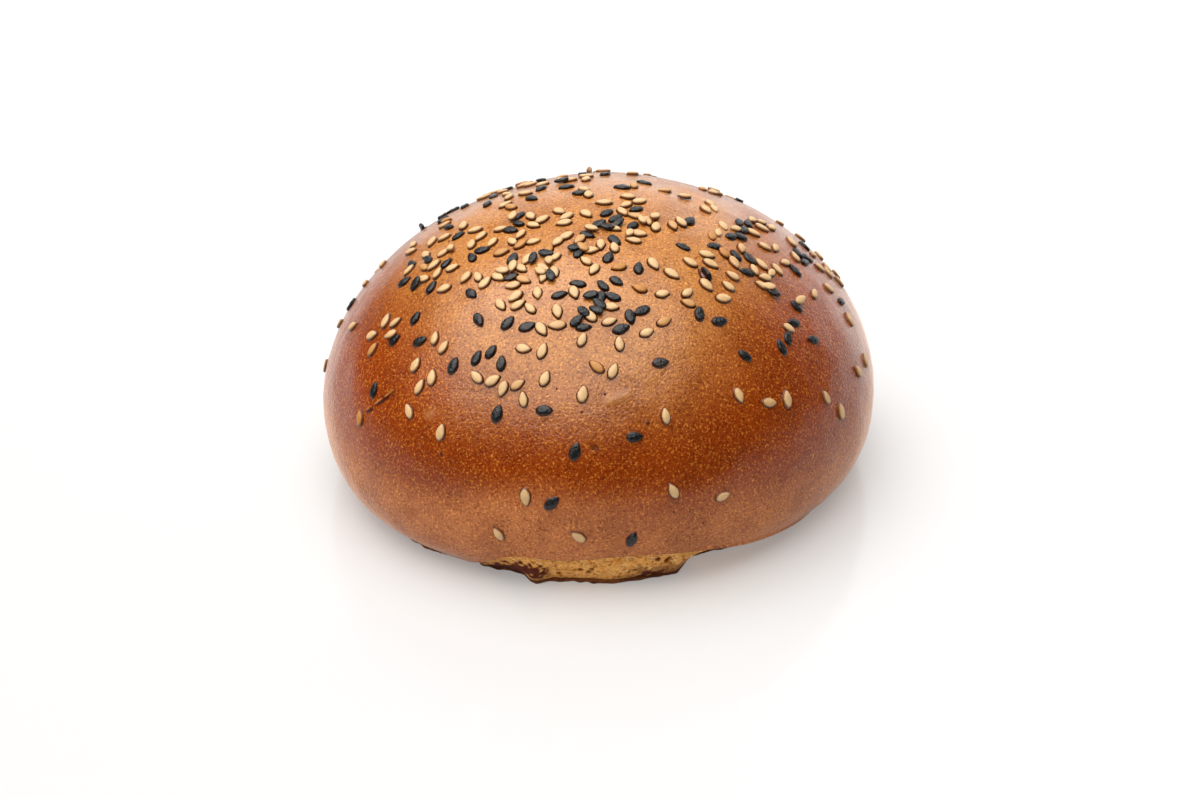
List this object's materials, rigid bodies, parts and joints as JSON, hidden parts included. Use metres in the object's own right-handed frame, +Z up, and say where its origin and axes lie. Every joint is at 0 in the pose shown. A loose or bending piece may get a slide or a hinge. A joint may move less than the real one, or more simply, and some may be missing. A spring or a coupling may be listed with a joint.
{
  "type": "bread roll",
  "caption": "Round domed bread roll with a glossy brown crust, pale and dark sesame seeds on top and a strip of bare crumb at the foot.",
  "frame": {"origin": "middle of the roll at the flat underside it rests on", "axes": "+Z up through the crown; -Y toward the side with the bare strip of crumb, seen in the picture; +X to that view's right"},
  "size_m": [0.11, 0.1106, 0.0576],
  "materials": {
    "crust": "glossy egg-washed crust, baked brown",
    "crumb": "porous pale golden crumb",
    "baked_base": "dry dark baked underside",
    "pale_sesame": "smooth pale toasted sesame",
    "dark_sesame": "ridged black sesame"
  },
  "bodies": {
    "root": {"bread_roll": "crust"}
  },
  "joints": []
}
